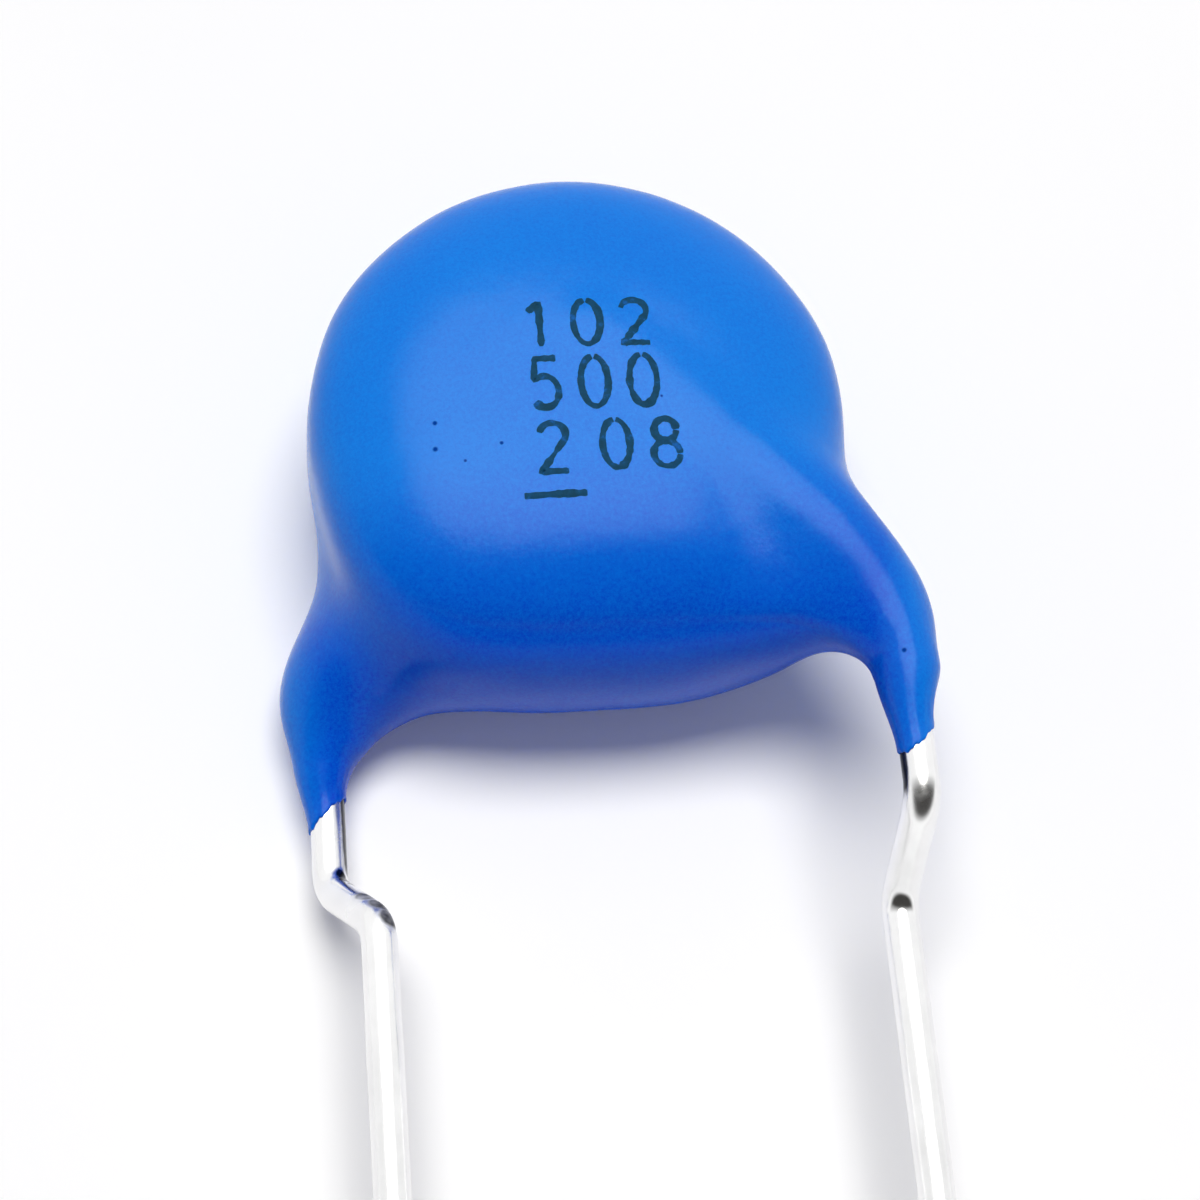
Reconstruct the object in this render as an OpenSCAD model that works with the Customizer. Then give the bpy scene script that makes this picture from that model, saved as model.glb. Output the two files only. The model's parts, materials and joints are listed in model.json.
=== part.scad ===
// Radial high-voltage ceramic disc capacitor, in millimetres.
//
// A fired ceramic tablet carries a silver electrode on each face. A tinned wire is soldered
// across each electrode, bends down at the tablet's side, and kinks back to the middle plane
// so that both leads stand in one row. The whole is dipped in epoxy, which forms one smooth
// skin over the tablet, a ridge over each wire, and a tapered leg down each lead.
//
// Frame: +Z is the normal of the front face, the leads point along -Y, and the origin lies
// midway between the leads, at the height where both are straight below their kinks.

/* [Ceramic tablet] */
// Diameter of the ceramic tablet
ceramic_d = 9; // [7.5:0.1:10.8]
// Thickness of the ceramic tablet
ceramic_t = 2.8; // [2:0.1:3.6]
// Bevel round both rims of the tablet
ceramic_bevel = 0.2; // [0.05:0.05:0.4]
// Bare ceramic left between an electrode and the tablet's rim
electrode_margin = 0.7; // [0.3:0.05:1.2]
// Thickness of a silver electrode
electrode_t = 0.05; // [0.02:0.01:0.1]

/* [Leads] */
// Diameter of the tinned wire
wire_d = 0.7; // [0.5:0.05:0.9]
// Distance between the two leads
lead_pitch = 10; // [8.5:0.5:12]
// Straight length of a lead below the origin
lead_len = 25; // [5:1:40]
// Slope of the wire across its face, in degrees below the horizontal
face_slope = 44; // [36:0.5:49]
// Height above the tablet's centre at which the wire's line crosses the middle of the face
face_cross = 1.4; // [0.6:0.1:1.8]
// Distance down the slope from the middle of the face to the wire's end
face_start = 0.4; // [0:0.1:1]
// Centre-line radius of the bend at the tablet's side
side_bend_r = 4.6; // [3.5:0.1:5]

/* [Kinks] */
// Height of the tablet's centre above the origin
seat_h = 10.6; // [9.9:0.1:14]
// How far the front lead's kink brings it inwards
kink_in_front = 0.33; // [0:0.01:1]
// How far the back lead's kink brings it inwards
kink_in_back = 0.84; // [0:0.01:1]
// Distance along Y between the two bends of a kink
kink_rise = 1.35; // [0.8:0.05:2]
// Centre-line radius of the two bends of a kink
kink_bend_r = 0.8; // [0.6:0.05:1]

/* [Epoxy coating] */
// Coating over the tablet's rim
rim_wall = 0.96; // [0.7:0.02:1.4]
// Coating over an electrode, at the middle of the face
face_wall = 1.4; // [1.1:0.05:1.6]
// Flatness of the coated faces, as a power: 2 is a lens
face_power = 2.4; // [2.2:0.1:4]
// Bluntness of the coated rim, as a power: 2 is half round
rim_power = 4.1; // [3:0.1:5]
// Fullness of the outline's lower half, where the epoxy gathers: 2 is a circle
lower_power = 2.9; // [2:0.1:3.2]
// Coating over a wire
wire_wall = 0.3; // [0.2:0.02:0.5]
// Coating over a wire at the leg's end
tip_wall = 0.04; // [0.03:0.01:0.1]
// Length over which a leg tapers to its end
leg_taper = 1.5; // [0.8:0.1:2.5]
// Distance from the tablet's centre down to the end of the front leg
leg_reach_front = 7.6; // [6.6:0.1:8]
// Distance from the tablet's centre down to the end of the back leg
leg_reach_back = 7.4; // [6.6:0.1:8]
// Reach of the fillet between a wire's ridge and the middle of the face
ridge_fillet = 0.8; // [0.2:0.1:1.2]
// Reach of the fillet between a leg and the rim
rim_fillet = 1.7; // [1:0.1:3]
// What the web below the body adds to that reach
web_fillet = 3.9; // [0:0.1:4]
// How far the tablet sits to the side of the leads' middle line
side_shift = -0.5; // [-0.8:0.02:0.8]

/* [Solder] */
// Solder between a wire and its electrode
solder_film = 0.05; // [0.03:0.01:0.1]
// Solder over the top of a wire
solder_cap = 0.04; // [0.02:0.01:0.1]
// Length of the soldered joint along the wire
solder_len = 3.6; // [2:0.1:4.5]
// Solder beyond the wire's end
solder_over = 0.3; // [0.1:0.05:0.4]

/* [Smoothness] */
// Rings of the coating's skin, from one leg's end to the other's
skin_rings = 72; // [48:4:80]
// Points round each ring of the skin
skin_sides = 44; // [32:4:48]

/* [Hidden] */

FRONT = 1;
BACK = -1;
$fn = 64;

wire_r = wire_d / 2;
face_z = ceramic_t / 2 + electrode_t;
solder_axis_h = solder_film + wire_r;
wire_z = face_z + solder_axis_h;
body_r = ceramic_d / 2 + rim_wall;
body_half_t = face_z + face_wall;

// How far a joint's ball stands out of the wire
joint_ball_over = 0.004;

// The bend at the tablet's side turns the wire from its slope to straight down
side_turn = 90 - face_slope;
side_tangent = side_bend_r * tan(side_turn / 2);
slope_dir = [cos(face_slope), -sin(face_slope)];

// A kink lies in a plane of its own, in which it moves the lead by kink_offset
function kink_in(side) = side == FRONT ? kink_in_front : kink_in_back;
function kink_offset(side) = norm([kink_in(side), wire_z]);
function kink_heading(side) = atan2(wire_z, kink_in(side));
function kink_turn(side) = atan2(kink_offset(side), kink_rise);
function kink_tangent(side) = kink_bend_r * tan(kink_turn(side) / 2);
function kink_straight(side) = norm([kink_offset(side), kink_rise]) - 2 * kink_tangent(side);
function kink_top(side) = 2 * kink_tangent(side) + kink_rise;

// Each leg is described in its own frame, which for the back leg is turned half round +Y.
// There the lead leaves the body at exit_x, and the tablet's centre is leg_x sideways.
function exit_x(side) = lead_pitch / 2 + kink_in(side);
function leg_x(side) = side * side_shift;
function leg_end(side) = seat_h - (side == FRONT ? leg_reach_front : leg_reach_back);
function on_slope(side, run) = [leg_x(side), seat_h + face_cross] + run * slope_dir;
function slope_start(side) = on_slope(side, face_start);
function side_corner(side) =
    on_slope(side, (exit_x(side) - leg_x(side)) / slope_dir.x);
function side_bend_centre(side) = side_corner(side) - [side_bend_r, side_tangent];
function slope_end(side) = side_corner(side) - side_tangent * slope_dir;

module leg_frame(side) {
    rotate([0, side == FRONT ? 0 : 180, 0])
        children();
}

// The wire is drawn as a walk along its centre line: each piece starts at the local origin,
// heads along +Z, and carries its children to its far end. A ball at the start of each bend
// and of the straight that follows it joins the pieces into one solid.
module joint_ball() {
    sphere(r = wire_r + joint_ball_over);
}

module straight_wire(run) {
    cylinder(h = run, r = wire_r);
    translate([0, 0, run])
        children();
}

// A bend towards local +X
module bent_wire(bend_r, turn) {
    joint_ball();
    translate([bend_r, 0, 0]) {
        rotate([-90, 0, 0])
            rotate_extrude(angle = turn, start = 180)
                translate([bend_r, 0])
                    circle(r = wire_r);
        rotate([0, turn, 0])
            translate([-bend_r, 0, 0]) {
                joint_ball();
                children();
            }
    }
}

module lead(side) {
    drop_len = side_bend_centre(side).y - kink_top(side);
    slope_len = norm(slope_end(side) - slope_start(side));
    leg_frame(side)
        translate([lead_pitch / 2, 0, 0]) {
            rotate([90, 0, 0])
                cylinder(h = lead_len, r = wire_r);
            rotate([-90, 0, 0])
                rotate([0, 0, -kink_heading(side)])
                    bent_wire(kink_bend_r, kink_turn(side))
                        straight_wire(kink_straight(side))
                            rotate([0, 0, 180])
                                bent_wire(kink_bend_r, kink_turn(side))
                                    rotate([0, 0, kink_heading(side)])
                                        straight_wire(drop_len)
                                            bent_wire(side_bend_r, side_turn)
                                                cylinder(h = slope_len, r = wire_r);
        }
}

module tablet_frame() {
    translate([side_shift, seat_h, 0])
        children();
}

module tablet() {
    straight = ceramic_t - 2 * ceramic_bevel;
    r = ceramic_d / 2;
    tablet_frame() {
        cylinder(h = straight, r = r, center = true);
        for (turn = [0, 180])
            rotate([turn, 0, 0])
                translate([0, 0, straight / 2])
                    cylinder(h = ceramic_bevel, r1 = r, r2 = r - ceramic_bevel);
    }
}

module electrode(side) {
    tablet_frame()
        rotate([side == FRONT ? 0 : 180, 0, 0])
            translate([0, 0, ceramic_t / 2])
                cylinder(h = electrode_t, r = ceramic_d / 2 - electrode_margin);
}

// Section of the solder: a pad under the wire, a concave fillet up each flank, and a cap
module solder_section() {
    cover_r = wire_r + solder_cap;
    foot = cover_r + wire_r;
    intersection() {
        translate([-foot, 0])
            square([2 * foot, solder_axis_h + cover_r]);
        union() {
            translate([0, solder_axis_h])
                circle(r = cover_r);
            difference() {
                translate([-foot, 0])
                    square([2 * foot, solder_axis_h]);
                for (flank = [-1, 1])
                    translate([flank * foot, solder_axis_h])
                        circle(r = wire_r);
            }
        }
    }
}

// The joint runs along the wire, and its ends are rounded in plan
module solder_bead() {
    intersection() {
        rotate([90, 0, 90])
            linear_extrude(height = solder_len, center = true)
                solder_section();
        cylinder(h = wire_d * 2, r = solder_len / 2);
    }
}

module solder(side) {
    middle = on_slope(side, face_start - solder_over + solder_len / 2);
    difference() {
        leg_frame(side)
            translate([middle.x, middle.y, face_z])
                rotate([0, 0, -face_slope])
                    solder_bead();
        lead(side);
    }
}

// The skin's surface is where skin_gap is zero. It is the distance to the rounded body and
// to the coat round each wire, joined by fillets.
function ease(t) = let (c = min(max(t, 0), 1)) c * c * (3 - 2 * c);
function fillet(a, b, reach) =
    let (near = max(reach - abs(a - b), 0) / reach)
    min(a, b) - near * near * reach / 4;

// Share of the body's radius at which a point lies, on an outline that is fuller low down
function body_share(across, up) =
    let (power = 2 + (lower_power - 2) * ease(-up / body_r))
    pow(pow(abs(across), power) + pow(abs(up), power), 1 / power) / body_r;

// Distance to the coated tablet. Its section's surface is where the powers of both shares,
// of the body's radius and of its half thickness, add up to 1.
least_steepness = 0.05;
least_sum = 0.000001;
function body_gap(share, z) =
    let (
        height = abs(z) / body_half_t,
        size_power = 2 / (face_power + rim_power),
        sum = max(pow(share, face_power) + pow(height, rim_power), least_sum),
        growth = size_power * pow(sum, size_power - 1),
        steepness = growth * norm([face_power * pow(share, face_power - 1) / body_r,
                                   rim_power * pow(height, rim_power - 1) / body_half_t])
    )
    (pow(sum, size_power) - 1) / max(steepness, least_steepness);

// Distance to the coat round one wire, for a point p in that leg's frame
function coat_gap(p, side) =
    let (
        centre = side_bend_centre(side),
        start = slope_start(side),
        along = (p.x - start.x) * slope_dir.x + (p.y - start.y) * slope_dir.y,
        on_run = start + min(max(along, 0), norm(slope_end(side) - start)) * slope_dir,
        bearing = min(max(atan2(p.y - centre.y, p.x - centre.x), 0), side_turn),
        on_bend = centre + side_bend_r * [cos(bearing), sin(bearing)],
        drop_y = min(max(p.y, leg_end(side)), centre.y),
        taper = ease((drop_y - leg_end(side)) / leg_taper),
        drop_r = wire_r + tip_wall + (wire_wall - tip_wall) * taper
    )
    min(
        norm([p.x - on_run.x, p.y - on_run.y, p.z - wire_z]) - wire_r - wire_wall,
        norm([p.x - on_bend.x, p.y - on_bend.y, p.z - wire_z]) - wire_r - wire_wall,
        norm([p.x - exit_x(side), p.y - drop_y, p.z - wire_z]) - drop_r
    );

// Fillets widen outwards between these shares of the body's radius
spread_from = 0.55;
spread_to = 1.05;
// The web sets in between these shares of the body's radius below its centre, and between
// these distances from the middle plane, so that it doesn't climb over a wire
web_from = 0.4;
web_to = 1.2;
web_top = wire_z + 3 * wire_r;
web_full = wire_z - wire_r / 2;
// Fillets grow from nothing, this far below the legs' ends, over this height
fade_below = 1;
fade_height = 5;
least_reach = 0.02;
fan_y = (leg_end(FRONT) + leg_end(BACK)) / 2;

function fillet_reach(share, up, z, height) =
    let (
        spread = ease((share - spread_from) / (spread_to - spread_from)),
        low = ease((-up / body_r - web_from) / (web_to - web_from)),
        web = web_fillet * low * ease((web_top - abs(z)) / (web_top - web_full)),
        reach = ridge_fillet + (rim_fillet - ridge_fillet + web) * spread
    )
    max(reach * ease((height + fade_below) / fade_height), least_reach);

function skin_gap(p) =
    let (
        up = p.y - seat_h,
        share = body_share(p.x - side_shift, up),
        reach = fillet_reach(share, up, p.z, p.y - fan_y),
        body = body_gap(share, p.z),
        front = coat_gap(p, FRONT),
        back = coat_gap([-p.x, p.y, -p.z], BACK)
    )
    fillet(fillet(body, front, reach), back, reach);

// The skin is lofted through sections in planes that fan about a line parallel to Z,
// midway between the legs' ends. Angle 0 cuts the front leg and 180 the back leg.
fan_first = atan2(leg_end(FRONT) - fan_y, exit_x(FRONT));
fan_last = 180 - atan2(leg_end(BACK) - fan_y, exit_x(BACK));
// Angles from a leg at which a section's middle starts to move to the body, and arrives
leg_fan = 22;
body_fan = 70;

// Middle of a section: on the wire at the legs, and on the tablet's axis above
function section_share(fan) = ease((min(fan, 180 - fan) - leg_fan) / (body_fan - leg_fan));
function section_middle(fan) =
    let (
        share = section_share(fan),
        side = fan < 90 ? FRONT : BACK,
        on_wire = exit_x(side) / cos(min(fan, 180 - fan, leg_fan)),
        on_body = (seat_h - fan_y) * sin(fan)
    )
    [on_wire + (on_body - on_wire) * share, side * wire_z * (1 - share)];

function fan_point(fan, at) = [at[0] * cos(fan), fan_y + at[0] * sin(fan), at[1]];

// Where the ray from a section's middle crosses the skin, found by halving the interval
skin_far = body_r * 1.5;
halvings = 15;
function crossing(fan, middle, ray, near, far, left) =
    let (half = (near + far) / 2)
    left == 0 ? middle + half * ray
    : skin_gap(fan_point(fan, middle + half * ray)) < 0
        ? crossing(fan, middle, ray, half, far, left - 1)
        : crossing(fan, middle, ray, near, half, left - 1);

function skin_section(fan) =
    let (
        middle = section_middle(fan),
        stretch = 1 + section_share(fan) / 2
    )
    [
        for (i = [0 : skin_sides - 1])
            let (
                turn = 360 * i / skin_sides,
                aim = [stretch * cos(turn), sin(turn)],
                ray = aim / norm(aim)
            )
            fan_point(fan, crossing(fan, middle, ray, 0, skin_far, halvings))
    ];

module skin() {
    fans = [for (i = [0 : skin_rings]) fan_first + (fan_last - fan_first) * i / skin_rings];
    ends = [fan_point(fan_first, section_middle(fan_first)),
            fan_point(fan_last, section_middle(fan_last))];
    first_end = (skin_rings + 1) * skin_sides;
    last_ring = skin_rings * skin_sides;
    points = [for (fan = fans) each skin_section(fan), each ends];
    walls = [
        for (ring = [0 : skin_rings - 1], i = [0 : skin_sides - 1])
            let (
                a = ring * skin_sides + i,
                b = ring * skin_sides + (i + 1) % skin_sides
            )
            each [[a, b, b + skin_sides], [a, b + skin_sides, a + skin_sides]]
    ];
    caps = [
        for (i = [0 : skin_sides - 1])
            let (next = (i + 1) % skin_sides)
            each [[first_end, next, i], [first_end + 1, last_ring + i, last_ring + next]]
    ];
    polyhedron(points, concat(walls, caps));
}

module coating() {
    color("royalblue")
        difference() {
            skin();
            tablet();
            for (side = [FRONT, BACK]) {
                electrode(side);
                solder(side);
                lead(side);
            }
        }
}

module ceramic_disc() {
    color("tan") tablet();
}

module electrode_front() {
    color("gainsboro") electrode(FRONT);
}

module electrode_back() {
    color("gainsboro") electrode(BACK);
}

module lead_front() {
    color("silver") lead(FRONT);
}

module lead_back() {
    color("silver") lead(BACK);
}

module solder_front() {
    color("lightslategray") solder(FRONT);
}

module solder_back() {
    color("lightslategray") solder(BACK);
}

coating();
ceramic_disc();
electrode_front();
electrode_back();
lead_front();
lead_back();
solder_front();
solder_back();
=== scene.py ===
"""Looks of a ceramic disc capacitor that lies on its back on a pale table.

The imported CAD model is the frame. This script dips it again in the same coating with a finer
skin, ragged ends and pinholes, draws smooth tinned wires, prints the marking, and lights it.
Shapes are worked out in millimetres, as in the part's source, and turned to metres at the end.
"""
import json
import math

import bpy
import numpy as np
from mathutils import Matrix, Vector


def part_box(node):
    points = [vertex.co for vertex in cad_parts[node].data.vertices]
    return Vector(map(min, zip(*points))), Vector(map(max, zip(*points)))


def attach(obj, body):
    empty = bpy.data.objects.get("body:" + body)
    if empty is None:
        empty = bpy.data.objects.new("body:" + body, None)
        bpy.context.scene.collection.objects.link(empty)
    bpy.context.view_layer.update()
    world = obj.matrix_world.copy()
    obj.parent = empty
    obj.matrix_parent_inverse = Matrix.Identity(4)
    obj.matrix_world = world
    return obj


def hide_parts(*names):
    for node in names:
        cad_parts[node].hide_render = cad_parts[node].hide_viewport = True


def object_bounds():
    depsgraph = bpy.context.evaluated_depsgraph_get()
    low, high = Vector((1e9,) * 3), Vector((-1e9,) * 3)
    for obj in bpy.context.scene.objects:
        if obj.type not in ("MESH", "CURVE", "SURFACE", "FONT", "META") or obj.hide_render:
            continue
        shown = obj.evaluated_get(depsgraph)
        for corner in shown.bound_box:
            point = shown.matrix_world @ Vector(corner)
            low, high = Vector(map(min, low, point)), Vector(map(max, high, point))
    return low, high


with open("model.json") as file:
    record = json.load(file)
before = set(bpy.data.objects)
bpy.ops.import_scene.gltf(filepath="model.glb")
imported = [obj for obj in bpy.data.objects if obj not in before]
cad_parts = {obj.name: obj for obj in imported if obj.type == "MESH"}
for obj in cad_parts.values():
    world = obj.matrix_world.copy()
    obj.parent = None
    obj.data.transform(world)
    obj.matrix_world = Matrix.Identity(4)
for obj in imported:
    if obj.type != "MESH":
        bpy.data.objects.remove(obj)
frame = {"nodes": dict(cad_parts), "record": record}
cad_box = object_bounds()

MM = 0.001
FRONT, BACK = 1, -1


# ---------------------------------------------------------------- sizes, from the frame

def mount(name):
    return next(m for m in frame["record"]["mounts"] if m["name"] == name)


def box_mm(node):
    low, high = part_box(node)
    return np.array(low) / MM, np.array(high) / MM


LEAD_PITCH = mount("leads")["dims"]["spacing_x_mm"]
WIRE_R = mount("leads")["dims"]["stud_r_mm"]

tablet_low, tablet_high = box_mm("ceramic_disc")
TABLET_X, TABLET_Y = (tablet_low[:2] + tablet_high[:2]) / 2
TABLET_R = (tablet_high[0] - tablet_low[0]) / 2
FACE_Z = box_mm("electrode_front")[1][2]
SOLDER_FILM = 0.05
WIRE_Z = FACE_Z + SOLDER_FILM + WIRE_R
LEAD_END = box_mm("lead_front")[0][1]

# The values below are the part's own, where the frame doesn't show them directly
FACE_SLOPE = math.radians(44)
FACE_CROSS = 1.4
FACE_START = 0.4
SIDE_BEND_R = 4.6
KINK_IN = {FRONT: 0.33, BACK: 0.84}
KINK_RISE = 1.35
KINK_BEND_R = 0.8
RIM_WALL = 0.96
FACE_WALL = 1.4
FACE_POWER = 2.4
RIM_POWER = 4.1
LOWER_POWER = 2.9
WIRE_WALL = 0.3
TIP_WALL = 0.04
LEG_TAPER = 1.5
LEG_REACH = {FRONT: 7.6, BACK: 7.4}
RIDGE_FILLET = 0.8
RIM_FILLET = 1.7
WEB_FILLET = 3.9
SPREAD_FROM, SPREAD_TO = 0.55, 1.05
WEB_FROM, WEB_TO = 0.4, 1.2
WEB_TOP, WEB_FULL = WIRE_Z + 3 * WIRE_R, WIRE_Z - WIRE_R / 2
FADE_BELOW, FADE_HEIGHT = 1, 5
LEAST_REACH = 0.02

BODY_R = TABLET_R + RIM_WALL
BODY_HALF_T = FACE_Z + FACE_WALL
SIDE_TURN = math.pi / 2 - FACE_SLOPE
SIDE_TANGENT = SIDE_BEND_R * math.tan(SIDE_TURN / 2)
SLOPE_DIR = np.array([math.cos(FACE_SLOPE), -math.sin(FACE_SLOPE)])


def kink_offset(side):
    return math.hypot(KINK_IN[side], WIRE_Z)


def kink_turn(side):
    return math.atan2(kink_offset(side), KINK_RISE)


def kink_tangent(side):
    return KINK_BEND_R * math.tan(kink_turn(side) / 2)


def kink_straight(side):
    return math.hypot(kink_offset(side), KINK_RISE) - 2 * kink_tangent(side)


def exit_x(side):
    return LEAD_PITCH / 2 + KINK_IN[side]


def leg_end(side):
    return TABLET_Y - LEG_REACH[side]


def on_slope(side, run):
    return np.array([side * TABLET_X, TABLET_Y + FACE_CROSS]) + run * SLOPE_DIR


def slope_start(side):
    return on_slope(side, FACE_START)


def side_corner(side):
    return on_slope(side, (exit_x(side) - side * TABLET_X) / SLOPE_DIR[0])


def side_bend_centre(side):
    return side_corner(side) - [SIDE_BEND_R, SIDE_TANGENT]


def slope_end(side):
    return side_corner(side) - SIDE_TANGENT * SLOPE_DIR


# ---------------------------------------------------------------- small helpers

def ease(t):
    c = np.clip(t, 0, 1)
    return c * c * (3 - 2 * c)


RIPPLE_WAVES = 14


def ripple(points, wavelength, seed):
    """Smooth noise of about unit height, made of a few plane waves."""
    random = np.random.default_rng(seed)
    total = np.zeros(points.shape[:-1])
    for _ in range(RIPPLE_WAVES):
        direction = random.normal(size=3)
        direction *= 2 * math.pi / wavelength / np.linalg.norm(direction)
        phase = points @ direction * random.uniform(0.7, 1.4)
        total += np.sin(phase + random.uniform(0, 2 * math.pi))
    return total / math.sqrt(RIPPLE_WAVES)


def link_object(name, data):
    made = bpy.data.objects.new(name, data)
    bpy.context.scene.collection.objects.link(made)
    return made


def new_object(name, points, faces, material):
    mesh = bpy.data.meshes.new(name)
    mesh.from_pydata((np.asarray(points) * MM).tolist(), [], faces)
    mesh.update()
    mesh.shade_smooth()
    piece = link_object(name, mesh)
    mesh.materials.append(material)
    return piece


def halve(inside, near, far, times):
    """The last place that still lies inside, on the way from near to far."""
    for _ in range(times):
        half = (near + far) / 2
        within = inside(half)
        near = np.where(within, half, near)
        far = np.where(within, far, half)
    return near


def ring_faces(rings, sides):
    """Faces of a tube of rings, with a fan at each end on the two points that follow the rings."""
    faces = []
    for ring in range(rings - 1):
        for i in range(sides):
            a = ring * sides + i
            b = ring * sides + (i + 1) % sides
            faces.append((a, b, b + sides, a + sides))
    first_end = rings * sides
    last_ring = (rings - 1) * sides
    for i in range(sides):
        j = (i + 1) % sides
        faces.append((first_end, j, i))
        faces.append((first_end + 1, last_ring + i, last_ring + j))
    return faces


# ---------------------------------------------------------------- coating

# The underside between the legs is rounded out, by this much, where the epoxy last ran
BELLY, BELLY_HALF_T = 0.24, 1.5
BELLY_HALF_W, BELLY_FADE = 3, 2
# A leg's lowest part, where the skin is even and its end is ragged
RAGGED_W, RAGGED_H, RAGGED_FADE = 1.2, 1.6, 1.5
# How each end closes: shares of the tip's wall at which its last rings lie, and how far each drops
END_RINGS = ((0.75, 0.02), (0.3, 0.032), (-0.6, 0.02))
NORMAL_STEP = 0.001
SKIN_RINGS = 330
SKIN_SIDES = 168
SKIN_HALVINGS = 20
LEG_FAN, BODY_FAN = math.radians(22), math.radians(70)
FAN_Y = (leg_end(FRONT) + leg_end(BACK)) / 2


def waves(points):
    """How far the dipped skin wanders from its even thickness."""
    return 0.015 * ripple(points, 3.2, 3) + 0.002 * ripple(points, 1.1, 5)


def fillet(a, b, reach):
    near = np.maximum(reach - np.abs(a - b), 0) / reach
    return np.minimum(a, b) - near * near * reach / 4


def body_share(across, up):
    """Share of the body's radius at which a point lies, on an outline that is fuller low down."""
    power = 2 + (LOWER_POWER - 2) * ease(-up / BODY_R)
    return (np.abs(across) ** power + np.abs(up) ** power) ** (1 / power) / BODY_R


def body_gap(share, z):
    """Distance to the coated tablet, with domed faces and a blunt rim."""
    height = np.abs(z) / BODY_HALF_T
    size_power = 2 / (FACE_POWER + RIM_POWER)
    total = np.maximum(share ** FACE_POWER + height ** RIM_POWER, 1e-9)
    steepness = size_power * total ** (size_power - 1) * np.hypot(
        FACE_POWER * share ** (FACE_POWER - 1) / BODY_R,
        RIM_POWER * height ** (RIM_POWER - 1) / BODY_HALF_T)
    return (total ** size_power - 1) / np.maximum(steepness, 0.05)


def coat_gap(x, y, z, side):
    """Distance to the coat round one wire, in that leg's frame."""
    centre, start, end = side_bend_centre(side), slope_start(side), slope_end(side)
    along = np.clip((x - start[0]) * SLOPE_DIR[0] + (y - start[1]) * SLOPE_DIR[1],
                    0, np.linalg.norm(end - start))
    bearing = np.clip(np.arctan2(y - centre[1], x - centre[0]), 0, SIDE_TURN)
    drop_y = np.clip(y, leg_end(side), centre[1])
    taper = ease((drop_y - leg_end(side)) / LEG_TAPER)
    drop_r = WIRE_R + TIP_WALL + (WIRE_WALL - TIP_WALL) * taper
    coat_r = WIRE_R + WIRE_WALL

    def reach_from(px, py):
        return np.sqrt((x - px) ** 2 + (y - py) ** 2 + (z - WIRE_Z) ** 2)

    return np.minimum.reduce([
        reach_from(start[0] + along * SLOPE_DIR[0], start[1] + along * SLOPE_DIR[1]) - coat_r,
        reach_from(centre[0] + SIDE_BEND_R * np.cos(bearing),
                   centre[1] + SIDE_BEND_R * np.sin(bearing)) - coat_r,
        reach_from(exit_x(side), drop_y) - drop_r,
    ])


def fillet_reach(share, up, z, height):
    """Reach of the fillets between a wire's coat and the body."""
    spread = ease((share - SPREAD_FROM) / (SPREAD_TO - SPREAD_FROM))
    low = ease((-up / BODY_R - WEB_FROM) / (WEB_TO - WEB_FROM))
    web = WEB_FILLET * low * ease((WEB_TOP - np.abs(z)) / (WEB_TOP - WEB_FULL))
    reach = RIDGE_FILLET + (RIM_FILLET - RIDGE_FILLET + web) * spread
    return np.maximum(reach * ease((height + FADE_BELOW) / FADE_HEIGHT), LEAST_REACH)


def skin_gap(p):
    x, y, z = p[..., 0], p[..., 1], p[..., 2]
    up = y - TABLET_Y
    share = body_share(x - TABLET_X, up)
    reach = fillet_reach(share, up, z, y - FAN_Y)
    with_front = fillet(body_gap(share, z), coat_gap(x, y, z, FRONT), reach)
    return fillet(with_front, coat_gap(-x, y, -z, BACK), reach)


def fan_points(fan, at):
    return np.stack([at[..., 0] * np.cos(fan), FAN_Y + at[..., 0] * np.sin(fan), at[..., 1]], -1)


def skin_points():
    """The skin's rings, in planes that fan about a line midway between the legs' ends."""
    first = math.atan2(leg_end(FRONT) - FAN_Y, exit_x(FRONT))
    last = math.pi - math.atan2(leg_end(BACK) - FAN_Y, exit_x(BACK))
    fan = np.linspace(first, last, SKIN_RINGS)[:, None]
    lean = np.minimum(fan, math.pi - fan)
    share = ease((lean - LEG_FAN) / (BODY_FAN - LEG_FAN))
    out = np.where(fan < math.pi / 2, exit_x(FRONT), exit_x(BACK))
    on_wire = out / np.cos(np.minimum(lean, LEG_FAN))
    on_body = (TABLET_Y - FAN_Y) * np.sin(fan)
    middle = np.stack([on_wire + (on_body - on_wire) * share,
                       np.where(fan < math.pi / 2, 1, -1) * WIRE_Z * (1 - share)], -1)
    turn = np.linspace(0, 2 * math.pi, SKIN_SIDES, endpoint=False)[None, :]
    aim = np.stack([(1 + share / 2) * np.cos(turn), np.sin(turn) + 0 * share], -1)
    aim /= np.linalg.norm(aim, axis=-1, keepdims=True)

    def along_rays(reach):
        return fan_points(fan, middle + reach[..., None] * aim)

    shape = aim.shape[:2]
    reach = halve(lambda half: skin_gap(along_rays(half)) < 0,
                  np.zeros(shape), np.full(shape, BODY_R * 1.5), SKIN_HALVINGS)
    return along_rays(reach)


# How a leg's end lies above its nominal height: all round, rising to +X, and to its outer face
END_LIFT = {FRONT: (0, 0.26, -0.2), BACK: (0.17, 0.3, 0)}


def ragged_shift(points, side):
    across = (points[..., 0] - side * exit_x(side)) / WIRE_R
    toward = (points[..., 2] - side * WIRE_Z) / WIRE_R
    lift, rise, tip = END_LIFT[side]
    around = np.arctan2(toward, across)
    rough = 0.02 * np.sin(7 * around + side) + 0.012 * np.sin(17 * around + 2 * side)
    return lift + rise * across + tip * side * toward + rough


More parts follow.
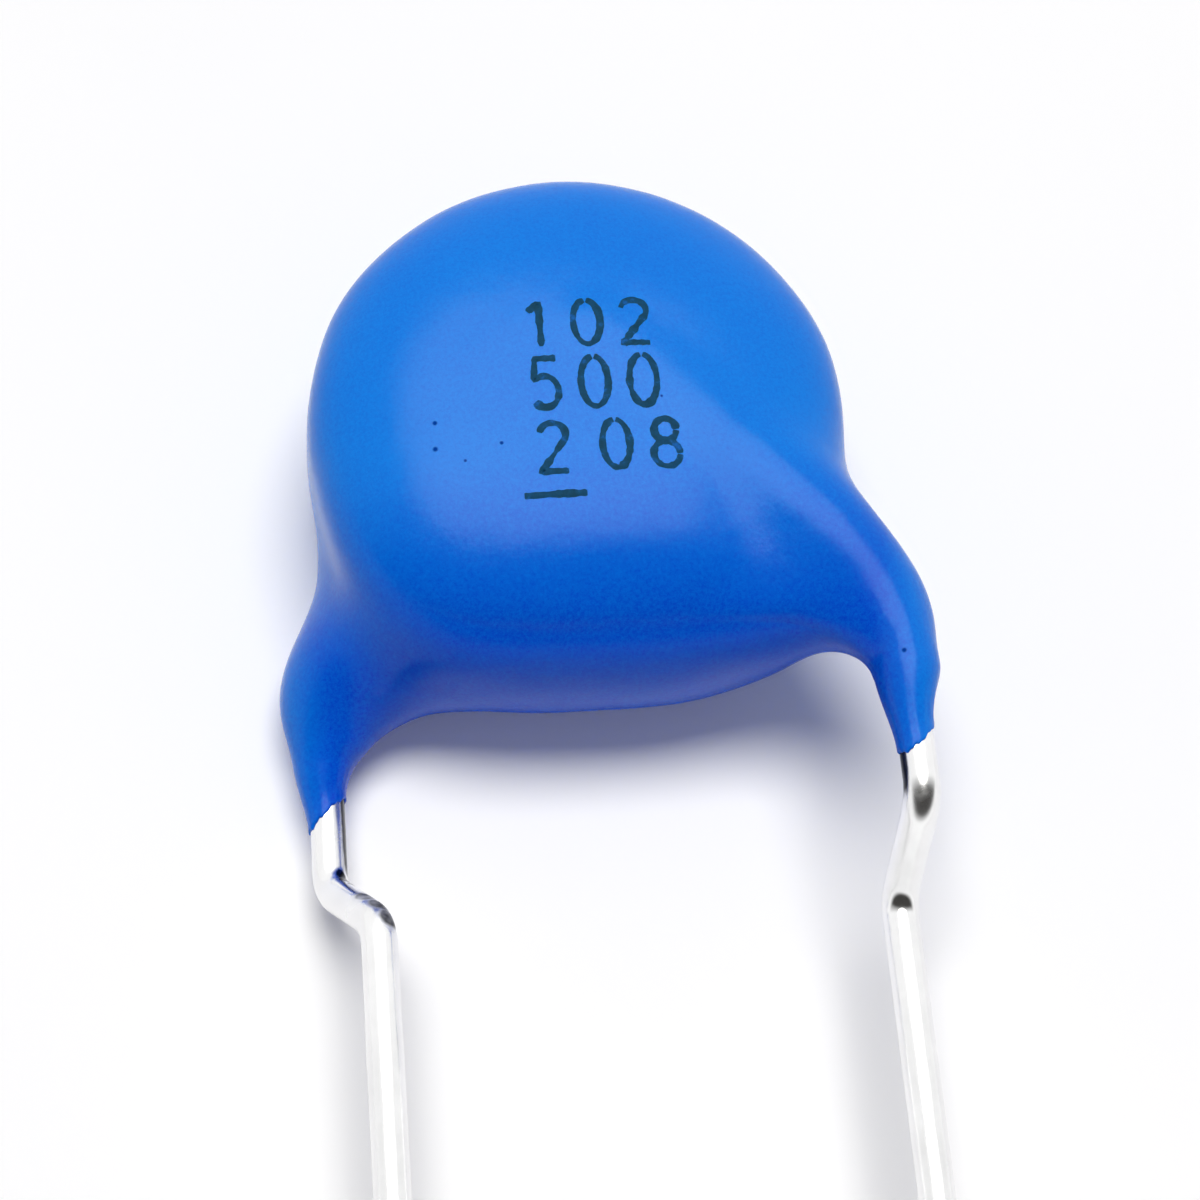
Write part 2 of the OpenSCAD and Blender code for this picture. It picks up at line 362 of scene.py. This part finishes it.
def close_end(rim, side):
    """Rings that turn the skin's end in to the wire, and close inside it."""
    radial = rim - np.array([side * exit_x(side), 0, side * WIRE_Z])
    radial[:, 1] = 0
    length = np.linalg.norm(radial, axis=1, keepdims=True)
    turned = []
    for share, drop in END_RINGS:
        ring = rim + radial / length * (WIRE_R + TIP_WALL * share - length)
        ring[:, 1] -= drop
        turned.append(ring)
    return turned


def make_coating(material):
    grid = skin_points()
    normal = np.stack([skin_gap(grid + NORMAL_STEP * axis) - skin_gap(grid - NORMAL_STEP * axis)
                       for axis in np.eye(3)], -1)
    normal /= np.linalg.norm(normal, axis=-1, keepdims=True)
    wander = waves(grid)
    between = 1 - ease((np.abs(grid[..., 0]) - BELLY_HALF_W) / BELLY_FADE)
    round_out = np.clip(1 - (grid[..., 2] / BELLY_HALF_T) ** 2, -0.4, 1)
    wander += BELLY * between * ease(-1.2 * normal[..., 1] - 0.2) * round_out
    for side in (FRONT, BACK):
        depth = grid[..., 1] - leg_end(side)
        on_leg = (side * grid[..., 0] > exit_x(side) - RAGGED_W) & (depth < RAGGED_H)
        fade = np.where(on_leg, 1 - ease(depth / RAGGED_FADE), 0)
        wander = wander * (1 - fade)
        grid[..., 1] += fade * ragged_shift(grid, side)
    grid += normal * wander[..., None]
    rings = close_end(grid[0], FRONT)[::-1] + list(grid) + close_end(grid[-1], BACK)
    points = np.concatenate(rings + [[rings[0].mean(0), rings[-1].mean(0)]])
    piece = new_object("coating_skin", points, ring_faces(len(rings), SKIN_SIDES), material)
    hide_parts("coating")
    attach(piece, "root")
    return piece


# ---------------------------------------------------------------- wires

WIRE_SIDES = 40
CUT_END_SHARE = 0.9


class Walk:
    """A centre line drawn by walking: straight runs and bends of a wire."""

    def __init__(self, position, heading):
        self.points = [np.array(position, float)]
        self.heading = np.array(heading, float)

    def straight(self, length, step=0.25):
        count = max(1, math.ceil(length / step))
        start = self.points[-1]
        self.points += [start + self.heading * length * i / count for i in range(1, count + 1)]

    def bend(self, radius, turn, toward, step=0.05):
        toward = np.array(toward, float)
        toward -= self.heading * (toward @ self.heading)
        toward /= np.linalg.norm(toward)
        start, ahead = self.points[-1], self.heading
        count = max(2, math.ceil(radius * turn / step))
        for i in range(1, count + 1):
            a = turn * i / count
            self.points.append(start + radius * (math.sin(a) * ahead + (1 - math.cos(a)) * toward))
        self.heading = math.cos(turn) * ahead + math.sin(turn) * toward


def wire_line(side):
    walk = Walk([LEAD_PITCH / 2, LEAD_END, 0], [0, 1, 0])
    walk.straight(-LEAD_END)
    walk.bend(KINK_BEND_R, kink_turn(side), [KINK_IN[side], 0, WIRE_Z])
    walk.straight(kink_straight(side), 0.05)
    walk.bend(KINK_BEND_R, kink_turn(side), [0, 1, 0])
    walk.straight(side_bend_centre(side)[1] - 2 * kink_tangent(side) - KINK_RISE, 0.1)
    walk.bend(SIDE_BEND_R, SIDE_TURN, [-1, 0, 0])
    walk.straight(np.linalg.norm(slope_end(side) - slope_start(side)))
    line = np.array(walk.points)
    return line if side == FRONT else line * [-1, 1, -1]


def tube(line, radius, sides):
    """Rings round a centre line, with the two end points last. radius is a value for each ring."""
    ahead = np.gradient(line, axis=0)
    ahead /= np.linalg.norm(ahead, axis=1, keepdims=True)
    across = np.cross(ahead[0], [0, 0, 1.0])
    turn = np.linspace(0, 2 * math.pi, sides, endpoint=False)
    rings = []
    for centre, axis, r in zip(line, ahead, radius):
        across = across - axis * (across @ axis)
        across /= np.linalg.norm(across)
        up = np.cross(across, axis)
        rings.append(centre + r * (np.cos(turn)[:, None] * across + np.sin(turn)[:, None] * up))
    return np.concatenate(rings + [line[:1], line[-1:]])


def make_lead(side, name, node, material):
    line = wire_line(side)
    radius = WIRE_R * (1 + 0.006 * ripple(line, 2.4, 11 + side) - 0.004)
    radius[0] *= CUT_END_SHARE
    points = tube(line, radius, WIRE_SIDES)
    piece = new_object(name, points, ring_faces(len(line), WIRE_SIDES), material)
    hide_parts(node)
    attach(piece, "root")
    return piece


# ---------------------------------------------------------------- marking

def arc(cx, cy, rx, ry, start, end, count=12):
    a = np.radians(np.linspace(start, end, count))
    return [(cx + rx * math.cos(t), cy + ry * math.sin(t)) for t in a]


# Plain numbers, each a list of strokes on a cell one unit wide and two units high
NUMERALS = {
    "0": [arc(0.5, 1, 0.42, 0.95, 95, 445, 28)],
    "1": [[(0.2, 1.55), (0.55, 1.95), (0.55, 0.05)]],
    "2": [arc(0.5, 1.5, 0.4, 0.45, 170, -35, 14) + [(0.1, 0.06), (0.92, 0.06)]],
    "5": [[(0.85, 1.93), (0.2, 1.93), (0.14, 1.12)] + arc(0.46, 0.65, 0.42, 0.6, 125, -140, 16)],
    "8": [arc(0.5, 1.48, 0.34, 0.43, 0, 355, 20), arc(0.5, 0.55, 0.41, 0.5, 0, 355, 22)],
}
# Each row's numerals, the place of its lower left corner, the step between them and their height
ROWS = (
    ("102", -1.66, 11.2, 0.96, 1.08),
    ("500", -1.6, 9.84, 0.96, 1.15),
    ("2", -1.55, 8.46, 1, 1.1),
    ("08", -0.32, 8.5, 0.98, 1.1),
)
UNDERLINE = ((-1.86, 8.0), (-0.64, 8.02))
DIGIT_W = 0.64
STROKE_R = 0.11
STROKE_STEP = 0.04
STROKE_END_SHARE = 0.75
# Lanes across a stroke, as shares of its half width, with their height above the skin
LANES = ((-1, -0.01), (-0.4, 0.006), (0.4, 0.006), (1, -0.01))
# Sets the strokes' noise apart
STROKE_APART = 3.7
FACE_HALVINGS = 22


def face_height(x, y):
    """Height of the front skin above a point of the face."""
    z = halve(lambda half: skin_gap(np.stack([x, y, half], -1)) < 0,
              np.full(np.shape(x), FACE_Z), np.full(np.shape(x), FACE_Z + 3), FACE_HALVINGS)
    return z + waves(np.stack([x, y, z], -1))


def resample(stroke, step):
    stroke = np.array(stroke, float)
    length = np.concatenate([[0], np.cumsum(np.linalg.norm(np.diff(stroke, axis=0), axis=1))])
    at = np.linspace(0, length[-1], max(3, math.ceil(length[-1] / step)))
    return np.stack([np.interp(at, length, stroke[:, k]) for k in (0, 1)], -1)


def print_strokes():
    """Strokes of the marking on the face, in millimetres."""
    strokes = [np.array(UNDERLINE)]
    for text, left, base, pitch, tall in ROWS:
        for i, mark in enumerate(text):
            for stroke in NUMERALS[mark]:
                cell = np.array(stroke) * [DIGIT_W, tall / 2]
                strokes.append(cell + [left + i * pitch, base])
    return strokes


def make_print(material):
    points, faces = [], []
    start = 0
    for number, stroke in enumerate(print_strokes()):
        line = resample(stroke, STROKE_STEP)
        n = len(line)
        ahead = np.gradient(line, axis=0)
        ahead /= np.linalg.norm(ahead, axis=1, keepdims=True)
        across = np.stack([-ahead[:, 1], ahead[:, 0]], -1)
        place = np.concatenate([line, np.full((n, 1), number * STROKE_APART)], 1)
        half = STROKE_R * (1 + 0.16 * ripple(place, 0.4, 21) + 0.12 * ripple(place, 0.13, 22))
        half[[0, -1]] *= STROKE_END_SHARE
        for edge, lift in LANES:
            flat = line + across * (half * edge)[:, None]
            points.append(np.column_stack([flat, face_height(flat[:, 0], flat[:, 1]) + lift]))
        for lane in range(len(LANES) - 1):
            for i in range(n - 1):
                a = start + lane * n + i
                faces.append((a, a + 1, a + n + 1, a + n))
        start += len(LANES) * n
    piece = new_object("marking", np.concatenate(points), faces, material)
    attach(piece, "root")
    return piece


# ---------------------------------------------------------------- materials

class Nodes:
    """A short way to write the node tree of a material, or of the world."""

    def __init__(self, owner, shader="Principled BSDF"):
        owner.use_nodes = True
        self.owner = owner
        self.tree = owner.node_tree
        self.shader = self.tree.nodes[shader]
        self.coordinates = self.add("ShaderNodeTexCoord")
        self.place = self.coordinates.outputs["Object"]

    def add(self, kind, **settings):
        node = self.tree.nodes.new(kind)
        for key, value in settings.items():
            setattr(node, key, value)
        return node

    def link(self, source, target):
        self.tree.links.new(source, target)

    def set(self, **values):
        for key, value in values.items():
            self.shader.inputs[key.replace("_", " ")].default_value = value

    def put(self, source, name):
        """Links a value to the shader's input of that name."""
        self.link(source, self.shader.inputs[name])

    def noise(self, scale, detail=3, rough=0.5):
        node = self.add("ShaderNodeTexNoise")
        node.inputs["Scale"].default_value = scale
        node.inputs["Detail"].default_value = detail
        node.inputs["Roughness"].default_value = rough
        self.link(self.place, node.inputs["Vector"])
        return node.outputs["Fac"]

    def ramp(self, value, stops):
        node = self.add("ShaderNodeValToRGB")
        while len(node.color_ramp.elements) < len(stops):
            node.color_ramp.elements.new(0.5)
        for element, (at, colour) in zip(node.color_ramp.elements, stops):
            element.position = at
            element.color = (*colour, 1)
        self.link(value, node.inputs["Fac"])
        return node.outputs["Color"]

    def math(self, operation, *values):
        node = self.add("ShaderNodeMath", operation=operation)
        for socket, value in zip(node.inputs, values):
            if isinstance(value, (int, float)):
                socket.default_value = value
            else:
                self.link(value, socket)
        return node.outputs[0]

    def axes(self, vector):
        """The X, Y and Z of a vector."""
        node = self.add("ShaderNodeSeparateXYZ")
        self.link(vector, node.inputs[0])
        return node.outputs

    def spread(self, value, start, end):
        """0 up to start, rising to 1 at end."""
        node = self.add("ShaderNodeMapRange")
        node.inputs["From Min"].default_value = start
        node.inputs["From Max"].default_value = end
        self.link(value, node.inputs["Value"])
        return node.outputs["Result"]

    def mix(self, factor, a, b):
        node = self.add("ShaderNodeMix", data_type="RGBA")
        for socket, value in (("Factor", factor), ("A", a), ("B", b)):
            if isinstance(value, tuple):
                node.inputs[socket].default_value = value
            else:
                self.link(value, node.inputs[socket])
        return node.outputs["Result"]

    def near(self, spots):
        """1 at each spot of the list, which is a place and a radius in millimetres."""
        total = 0
        for *place, radius in spots:
            away = self.add("ShaderNodeVectorMath", operation="DISTANCE")
            away.inputs[1].default_value = Vector(place) * MM
            self.link(self.place, away.inputs[0])
            spot = self.spread(away.outputs["Value"], radius * MM, radius / 2 * MM)
            total = self.math("MAXIMUM", spot, total)
        return total

    def bump(self, height, depth, strength, base=None):
        """Bumps of a depth in millimetres, on top of the base's."""
        node = self.add("ShaderNodeBump")
        node.inputs["Strength"].default_value = strength
        node.inputs["Distance"].default_value = depth * MM
        self.link(height, node.inputs["Height"])
        if base is not None:
            self.link(base, node.inputs["Normal"])
        return node.outputs["Normal"]


def new_material(name, **values):
    nodes = Nodes(bpy.data.materials.new(name))
    nodes.set(**values)
    return nodes


def grey(v):
    return (v, v, v)


def linear(c):
    """Linear value of an 8-bit screen value."""
    return ((c / 255 + 0.055) / 1.055) ** 2.4 if c > 10 else c / 255 / 12.92


def srgb(r, g, b):
    return (linear(r), linear(g), linear(b))


# Spots on the pieces, each a place and a radius in millimetres
PINHOLES = (
    (-3.49, 9.69, 2.65, 0.06), (-3.51, 9.13, 2.61, 0.07), (-2.23, 9.15, 2.77, 0.05),
    (-2.95, 8.83, 2.68, 0.04), (0.97, 10.03, 2.87, 0.04), (5.19, 4.54, 2.49, 0.06),
)
DUST = ((-3.45, 6.06, 1.93, 0.05),)
# Painted shade on the back's lead: dark spots in the upper kink's inner corner, and along the
# lower one's outer arc
PAINTED_SHADE_SPOTS = ((-5.6, 2.02, -1.48, 0.16), (-5.52, 1.85, -1.37, 0.18), (-5.42, 1.7, -1.15, 0.14))
# Rougher spots along the back lead's kink, where painted shade also darkens the colour
ROUGH_SPOTS_AND_PAINTED_SHADE = ((-5.2, 1.12, -0.36, 0.36), (-4.95, 0.84, -0.05, 0.38), (-4.78, 0.5, 0.14, 0.36))


def epoxy_material():
    m = new_material("epoxy", Roughness=0.2, IOR=1.25)
    # Painted shade: the epoxy's base colour is darker low down on the body, between the legs, and
    # lighter higher up; it is lighter too out at the sides over the legs, where the coat over the
    # wires is thin
    at = m.axes(m.place)
    # Painted shade: the blue lightens with height and darkens towards the bottom
    above = m.spread(at["Y"], 5.6 * MM, 9 * MM)
    off_axis = m.math("ABSOLUTE", m.math("SUBTRACT", at["X"], TABLET_X * MM))
    beside = m.spread(off_axis, 5.2 * MM, 6 * MM)
    thin_coat_and_painted_shade = m.math("MAXIMUM", above, m.math("MULTIPLY", beside, 0.9))
    clouds_and_painted_shade = m.math("MULTIPLY_ADD", m.noise(300, 4, 0.6), 0.2, m.math("MULTIPLY", thin_coat_and_painted_shade, 0.45))
    grains_and_painted_shade = m.math("MULTIPLY_ADD", m.noise(13000, 3, 0.8), 0.7, clouds_and_painted_shade)
    blue = m.ramp(grains_and_painted_shade, [(0.3, (0, 0.05, 0.57)), (1, (0.001, 0.215, 0.78))])
    pinholes = m.near(PINHOLES)
    blue = m.mix(pinholes, blue, (0, 0.04, 0.3, 1))
    m.put(m.math("MULTIPLY_ADD", pinholes, -0.5, 0.5), "Specular IOR Level")
    m.put(m.mix(m.near(DUST), blue, (0.5, 0.7, 0.9, 1)), "Base Color")
    grain = m.bump(m.noise(8000, 4, 0.7), 0.006, 0.6)
    peel = m.bump(m.noise(2600), 0.01, 0.6, grain)
    m.put(m.bump(m.noise(700, 2), 0.02, 0.35, peel), "Normal")
    return m.owner


def tin_material():
    m = new_material("tinned_wire", Metallic=1.0)
    # Painted shade: dark colour at spots on the back lead's kinks, and along both wires' inner
    # sides above the kinks
    at = m.axes(m.place)
    facing = m.axes(m.coordinates.outputs["Normal"])
    outward = m.math("MULTIPLY", m.math("SIGN", at["X"]), facing["X"])
    above = m.spread(at["Y"], 1.6 * MM, 2.6 * MM)
    # Painted shade along the inner sides of the wires above the kinks
    inside = m.math("MULTIPLY", m.spread(outward, -0.72, -0.9), above)
    rough_spots_and_painted_shade = m.near(ROUGH_SPOTS_AND_PAINTED_SHADE)
    painted_shade_marks = m.math("MAXIMUM", inside, m.near(PAINTED_SHADE_SPOTS))
    # The rough spots carry half as much painted shade
    painted_shade = m.math("MAXIMUM", painted_shade_marks, m.math("MULTIPLY", rough_spots_and_painted_shade, 0.5))
    # The painted shade darkens the wire's colour towards black
    tone_and_painted_shade = m.math("MULTIPLY_ADD", painted_shade, -0.9, m.noise(900, 4, 0.6))
    m.put(m.ramp(tone_and_painted_shade, [(0, grey(0.08)), (0.25, grey(0.88)), (0.7, grey(0.97))]), "Base Color")
    spot_roughness = m.math("MULTIPLY_ADD", rough_spots_and_painted_shade, 0.6, m.noise(1500))
    m.put(m.ramp(spot_roughness, [(0.3, grey(0.14)), (0.7, grey(0.28)), (1, grey(0.6))]), "Roughness")
    m.put(m.bump(m.noise(1200), 0.01, 0.4), "Normal")
    return m.owner


def ink_material():
    m = new_material("ink", Roughness=0.6, IOR=1.2)
    inks = [(0.35, srgb(4, 58, 82)), (0.58, srgb(8, 68, 102)), (0.74, srgb(14, 92, 170))]
    m.put(m.ramp(m.noise(5200, 3, 0.6), inks), "Base Color")
    return m.owner


def ceramic_material():
    m = new_material("dielectric", Roughness=0.7)
    clays = [(0.3, (0.5, 0.36, 0.22)), (0.7, (0.62, 0.48, 0.32))]
    m.put(m.ramp(m.noise(1800, 5, 0.65), clays), "Base Color")
    m.put(m.bump(m.noise(6000), 0.01, 0.3), "Normal")
    return m.owner


def silver_material():
    m = new_material("silver_layer", Metallic=1.0)
    m.put(m.ramp(m.noise(2200, 4), [(0.3, grey(0.74)), (0.7, grey(0.86))]), "Base Color")
    m.put(m.ramp(m.noise(5000), [(0.3, grey(0.45)), (0.7, grey(0.6))]), "Roughness")
    return m.owner


def solder_material():
    m = new_material("solder", Metallic=1.0)
    m.put(m.ramp(m.noise(1600, 4), [(0.3, grey(0.5)), (0.7, grey(0.66))]), "Base Color")
    m.put(m.ramp(m.noise(2500), [(0.3, grey(0.25)), (0.7, grey(0.4))]), "Roughness")
    m.put(m.bump(m.noise(3000), 0.01, 0.5), "Normal")
    return m.owner


def dress(node, material):
    mesh = frame["nodes"][node].data
    mesh.materials.clear()
    mesh.materials.append(material)


# ---------------------------------------------------------------- stage

FLOOR_HALF = 0.6
LAMP_DISTANCE = 1.5
LAMP_COLOUR = (1, 0.99, 0.95)
WHITE = (1, 1, 1, 1)
# Light that fills the shadows, and the dark side of the room that the wires and the skin mirror
FILL = (0.17, 0.175, 0.22, 1)
DARK_WALL = (0.05, 0.048, 0.045)


def make_floor():
    height = min(cad_box[0][2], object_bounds()[0][2])
    mesh = bpy.data.meshes.new("floor")
    corners = ((-1, -1), (1, -1), (1, 1), (-1, 1))
    mesh.from_pydata([(x * FLOOR_HALF, y * FLOOR_HALF, height) for x, y in corners],
                     [], [(0, 1, 2, 3)])
    floor = link_object("floor", mesh)
    m = new_material("floor", Roughness=0.9, Specular_IOR_Level=0.1, Emission_Color=WHITE)
    papers = [(0.3, grey(0.94)), (0.7, (0.97, 0.965, 0.955))]
    m.put(m.ramp(m.noise(30), papers), "Base Color")
    # To the camera the paper is white where no shadow falls
    path = m.add("ShaderNodeLightPath")
    m.put(m.math("MULTIPLY", path.outputs["Is Camera Ray"], 0.05), "Emission Strength")
    mesh.materials.append(m.owner)


def make_lamp(name, brightness, half_width, half_height, lean):
    """A round soft lamp whose half sizes and lean towards +Y are angles seen from the disc."""
    light = bpy.data.lights.new(name, "AREA")
    light.shape = "ELLIPSE"
    light.size = 2 * LAMP_DISTANCE * math.tan(math.radians(half_width))
    light.size_y = 2 * LAMP_DISTANCE * math.tan(math.radians(half_height))
    light.color = LAMP_COLOUR
    light.energy = brightness * math.pi * math.pi / 4 * light.size * light.size_y
    lamp = link_object(name, light)
    toward = Vector((0, math.sin(math.radians(lean)), math.cos(math.radians(lean))))
    lamp.location = Vector((0, TABLET_Y * MM, 0)) + toward * LAMP_DISTANCE
    lamp.rotation_euler = toward.to_track_quat("Z", "Y").to_euler()
    return lamp


def make_lights():
    # The broad lamp is what the skin mirrors; the narrow one casts the shadow
    make_lamp("mirrored", 3.8, 24.5, 22.5, 19.5).visible_diffuse = False
    make_lamp("casting", 10.8, 20, 13, 9).visible_glossy = False


def make_room():
    """A white background, FILL for the shadows, and walls that only mirror-like rays see."""
    world = bpy.data.worlds.new("studio")
    bpy.context.scene.world = world
    room = Nodes(world, "Background")
    # The walls are dark behind the camera, and white beyond the object and near the floor
    at = room.axes(room.coordinates.outputs["Generated"])
    lit = room.math("MAXIMUM", room.spread(at["Y"], -0.16, 0.24), room.spread(at["Z"], 0.45, 0.2))
    walls = room.ramp(lit, [(0, DARK_WALL), (1, grey(1))])
    path = room.add("ShaderNodeLightPath")
    colour = FILL
    rays = (("Is Glossy Ray", walls), ("Is Transmission Ray", walls), ("Is Camera Ray", WHITE))
    for ray, seen in rays:
        colour = room.mix(path.outputs[ray], colour, seen)
    room.put(colour, "Color")


def make_camera():
    azimuth, tilt, roll = math.radians(6.822), math.radians(24.95), math.radians(-5.066)
    target = Vector((-0.256, 7.001, 0)) * MM
    distance = 59.975 * MM
    back = Vector((-math.sin(azimuth) * math.cos(tilt),
                   -math.sin(tilt),
                   math.cos(azimuth) * math.cos(tilt)))
    level = Vector((0, 1, 0)).cross(back).normalized()
    upright = back.cross(level)
    right = math.cos(roll) * level + math.sin(roll) * upright
    up = math.cos(roll) * upright - math.sin(roll) * level
    camera = bpy.data.cameras.new("camera")
    camera.lens = 90
    camera.sensor_width = 36
    camera.clip_start = 0.001
    camera.clip_end = 10
    eye = link_object("camera", camera)
    turn = Matrix((right, up, back)).transposed().to_4x4()
    eye.matrix_world = Matrix.Translation(target + back * distance) @ turn
    bpy.context.scene.camera = eye


# ---------------------------------------------------------------- the scene

epoxy = epoxy_material()
tin = tin_material()
make_coating(epoxy)
make_lead(FRONT, "lead_front_wire", "lead_front", tin)
make_lead(BACK, "lead_back_wire", "lead_back", tin)
make_print(ink_material())
dress("ceramic_disc", ceramic_material())
silver = silver_material()
dress("electrode_front", silver)
dress("electrode_back", silver)
solder = solder_material()
dress("solder_front", solder)
dress("solder_back", solder)
make_floor()
make_lights()
make_room()
make_camera()
bpy.context.scene.view_settings.view_transform = "Standard"
